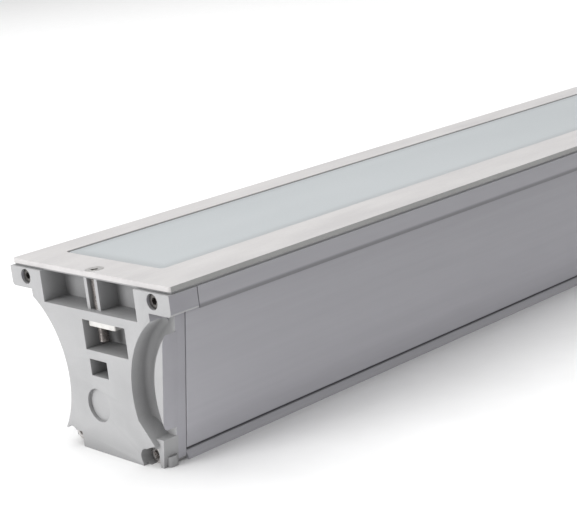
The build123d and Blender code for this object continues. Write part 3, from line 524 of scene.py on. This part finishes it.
def thread(radius, pitch, depth, start, end):
    """Radius of a helical ridge that fades in and out at its ends."""
    def at(a, t):
        turn = (t / pitch - a / (2 * math.pi)) % 1
        fade = min(1, max(0, (t - start) / pitch), max(0, (end - t) / pitch))
        return radius - depth * fade * (1 - abs(2 * turn - 1))
    return at


def lathe(work, rows, segments, place):
    """Closed skin through rings of points; place turns radius, angle and distance into a point."""
    rings = []
    for radius, t in rows:
        points = []
        for n in range(segments):
            a = 2 * math.pi * n / segments
            r = radius(a, t) if callable(radius) else radius
            points.append(work.verts.new(place(r, a, t)))
        rings.append(points)
    for first, second in zip(rings, rings[1:]):
        skin(work, first, second)
    for points, t in ((rings[0], rows[0][1]), (rings[-1], rows[-1][1])):
        centre = work.verts.new(place(0, 0, t))
        for n in range(segments):
            work.faces.new((points[n], points[(n + 1) % segments], centre))


def turned(node, parts, segments):
    """Piece of turned parts, each a list of rows and its placing function, that stands for a node."""
    work = bmesh.new()
    for rows, place in parts:
        lathe(work, rows, segments, place)
    bmesh.ops.recalc_face_normals(work, faces=work.faces)
    mesh = written(work, bpy.data.meshes.new(node))
    mesh.set_sharp_from_angle(angle=math.radians(35))
    piece(node + "_turned", mesh, node)


def cap_screws(node, head_length, shank_radius, across):
    """The node's pair of knurled socket head screws."""
    low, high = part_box(node)
    radius = (high.z - low.z) / 2
    z = (high.z + low.z) / 2
    near = (low.y + high.y) / 2 < middle
    front, inward = (low.y, 1) if near else (high.y, -1)
    length = high.y - low.y
    chamfer = radius * 0.12
    plain = radius - KNURL_DEPTH
    ridge = knurl(radius, 30)
    point = 0.6 * MM
    rows = [
        (0.3 * MM, head_length * 0.62),
        (hexagon(across), head_length * 0.55),
        (hexagon(across), SOCKET_CHAMFER / 2),
        (hexagon(across + SOCKET_CHAMFER), 0),
        (radius - chamfer, 0),
        (radius - chamfer * 0.3, chamfer * 0.3),
        (plain, chamfer),
        (ridge, chamfer + 0.2 * MM),
        (ridge, head_length - 0.7 * MM),
        (plain, head_length - 0.5 * MM),
        (plain, head_length),
        (shank_radius, head_length),
        (shank_radius, length - point),
        (shank_radius - point, length),
    ]
    parts = []
    for x in (low.x + radius, high.x - radius):
        def place(r, a, t, x=x):
            return (x + r * math.cos(a), front + inward * t, z + r * math.sin(a))
        parts.append((rows, place))
    turned(node, parts, 120)


def clamp_screw(node):
    """Countersunk screw with a hexagon socket and a cut thread."""
    low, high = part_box(node)
    x = (low.x + high.x) / 2
    y = (low.y + high.y) / 2
    head = (high.x - low.x) / 2
    shank = 2.5 * MM
    pitch = 0.8 * MM
    across = 3.5 * MM
    edge = 0.12 * MM
    length = high.z - low.z
    cone = head - shank
    start = cone + 1.5 * MM
    run = length - pitch - start
    cut = thread(shank, pitch, 0.32 * MM, start, start + run)
    rows = [
        (0.2 * MM, 2.0 * MM),
        (hexagon(across), 1.8 * MM),
        (hexagon(across), edge),
        (hexagon(across + SOCKET_CHAMFER), 0),
        (head - 0.15 * MM, 0),
        (head, edge),
        (shank, cone),
    ]
    steps = round(run / (0.1 * MM))
    for n in range(steps + 1):
        rows.append((cut, start + run * n / steps))
    rows.append((shank - 0.7 * MM, length))

    def place(r, a, t):
        return (x + r * math.cos(a), y + r * math.sin(a), high.z - t)

    turned(node, [(rows, place)], 48)


for end in ("near", "far"):
    cap_screws("upper_screws_" + end, 4.0 * MM, 2.0 * MM, 3.0 * MM)
for end in ("near", "far"):
    cap_screws("lower_screws_" + end, 5.0 * MM, 2.5 * MM, 4.0 * MM)
for end in ("near", "far"):
    clamp_screw("clamp_screw_" + end)

# --- floor and lights ---
FLOOR_HALF = 9
floor_mesh = bpy.data.meshes.new("floor")
corners = [(x * FLOOR_HALF, y * FLOOR_HALF, 0) for x, y in ((-1, -1), (1, -1), (1, 1), (-1, 1))]
floor_mesh.from_pydata(corners, [], [(0, 1, 2, 3)])
floor = bpy.data.objects.new("floor", floor_mesh)
scene.collection.objects.link(floor)
floor_mesh.materials.append(coated("floor_paper", (0.93, 0.93, 0.93), (0.95, 0.95, 0.95), 0.9, grain=300))


def area_light(name, place, target, size, power):
    data = bpy.data.lights.new(name, "AREA")
    data.shape = "RECTANGLE"
    data.size, data.size_y = size
    data.energy = power
    lamp = bpy.data.objects.new(name, data)
    scene.collection.objects.link(lamp)
    lamp.location = place
    lamp.rotation_euler = (Vector(target) - Vector(place)).to_track_quat("-Z", "Y").to_euler()


area_light("top_box", (-0.7, -0.1, 2.4), (0, -0.1, 0), (3.0, 3.4), 54)
area_light("front_key", (-0.9, -2.9, 1.0), (0, -0.5, 0.05), (1.3, 1.3), 48)
area_light("low_fill", (2.4, 0.3, 0.25), (0, 0.1, 0.03), (2.4, 0.3), 2.5)
world = bpy.data.worlds.new("studio")
scene.world = world
world.use_nodes = True
sky = world.node_tree.nodes["Background"]
sky.inputs["Color"].default_value = (1, 1, 1, 1)
sky.inputs["Strength"].default_value = 0.57
scene.view_settings.view_transform = "Standard"

# --- camera, fitted to the photo ---
azimuth, elevation, roll = (math.radians(degrees) for degrees in (47.556, 14.539, -6.545))
FOCAL_PIXELS = 1517
PHOTO_WIDTH = 577
SENSOR_WIDTH = 36
RIGHT, UP, BACK = 0.083228, 0.092401, 0.7102  # metres from the middle of the near end's foot

away = math.cos(elevation)
back = Vector((math.sin(azimuth) * away, -math.cos(azimuth) * away, math.sin(elevation)))
level = Vector((0, 0, 1)).cross(back).normalized()
upright = back.cross(level)
right = level * math.cos(roll) + upright * math.sin(roll)
up = upright * math.cos(roll) - level * math.sin(roll)
camera_data = bpy.data.cameras.new("photo_camera")
camera_data.lens = SENSOR_WIDTH * FOCAL_PIXELS / PHOTO_WIDTH
camera_data.clip_start = 0.02
camera = bpy.data.objects.new("photo_camera", camera_data)
scene.collection.objects.link(camera)
stand = right * RIGHT + up * UP + back * BACK + Vector((0, near_end, 0))
camera.matrix_world = Matrix.Translation(stand) @ Matrix((right, up, back)).transposed().to_4x4()
scene.camera = camera
